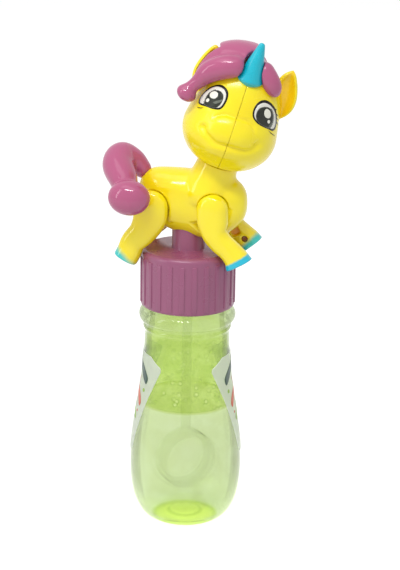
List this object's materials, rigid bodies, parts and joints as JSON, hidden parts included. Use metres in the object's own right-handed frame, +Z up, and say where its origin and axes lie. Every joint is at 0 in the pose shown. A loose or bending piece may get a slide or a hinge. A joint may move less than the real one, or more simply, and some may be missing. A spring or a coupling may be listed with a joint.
{
  "type": "bubble wand bottle",
  "caption": "Pear-shaped bubble bottle with a ribbed screw cap, a ring wand hung from the cap, and a unicorn figure with a turning head and swinging legs on a post.",
  "frame": {"origin": "centre of the bottle's standing ring, on the plane it stands on", "axes": "+Z up the bottle's axis, +X the way the figure's body faces"},
  "size_m": [0.0751, 0.0501, 0.2004],
  "materials": {
    "tinted_bottle": "clear blown plastic with a yellow-green tint",
    "solution": "pale, slightly cloudy soap solution",
    "label_film": "white printed film",
    "cap_plastic": "moulded, satin",
    "liner_foam": "foam sheet",
    "natural_plastic": "unpigmented, milky",
    "figure_plastic": "glossy moulded yellow, hooves sprayed cyan, eyes printed",
    "hair_plastic": "glossy moulded pink-purple",
    "horn_plastic": "glossy moulded cyan"
  },
  "bodies": {
    "bottle": {"bottle": "tinted_bottle", "bubble_solution": "solution", "right_label": "label_film", "left_label": "label_film"},
    "liner": {"cap_liner": "liner_foam"},
    "cap": {"screw_cap": "cap_plastic", "bubble_wand": "natural_plastic", "body_right": "figure_plastic", "body_left": "figure_plastic", "tail": "hair_plastic"},
    "head": {"neck_pin": "natural_plastic", "head_right": "figure_plastic", "head_left": "figure_plastic", "mane_right": "hair_plastic", "mane_left": "hair_plastic", "mane_back": "hair_plastic", "horn": "horn_plastic"},
    "front_leg_right": {"front_leg_right": "figure_plastic"},
    "front_leg_left": {"front_leg_left": "figure_plastic"},
    "rear_leg_right": {"rear_leg_right": "figure_plastic"},
    "rear_leg_left": {"rear_leg_left": "figure_plastic"}
  },
  "joints": [
    {"name": "cap_lift", "type": "slide", "parent": "bottle", "child": "liner", "axis": [0, 0, 1], "range_m": [0, 0.105]},
    {"name": "cap_turn", "type": "hinge", "parent": "liner", "child": "cap", "pos_m": [0, 0, 0.1132], "axis": [0, 0, 1], "range_deg": [0, 540]},
    {"name": "head_turn", "type": "hinge", "parent": "cap", "child": "head", "pos_m": [0.0114, 0, 0.15], "axis": [0.309, 0, 0.9511], "range_deg": [-12, 168]},
    {"name": "front_right_swing", "type": "hinge", "parent": "cap", "child": "front_leg_right", "pos_m": [0.0122, -0.0064, 0.1339], "axis": [0, -1, 0], "range_deg": [0, 50]},
    {"name": "front_left_swing", "type": "hinge", "parent": "cap", "child": "front_leg_left", "pos_m": [0.0122, 0.0064, 0.1339], "axis": [0, -1, 0], "range_deg": [-4, 46]},
    {"name": "rear_right_swing", "type": "hinge", "parent": "cap", "child": "rear_leg_right", "pos_m": [-0.0127, -0.0064, 0.133], "axis": [0, 1, 0], "range_deg": [0, 35]},
    {"name": "rear_left_swing", "type": "hinge", "parent": "cap", "child": "rear_leg_left", "pos_m": [-0.0127, 0.0064, 0.133], "axis": [0, 1, 0], "range_deg": [0, 35]}
  ]
}
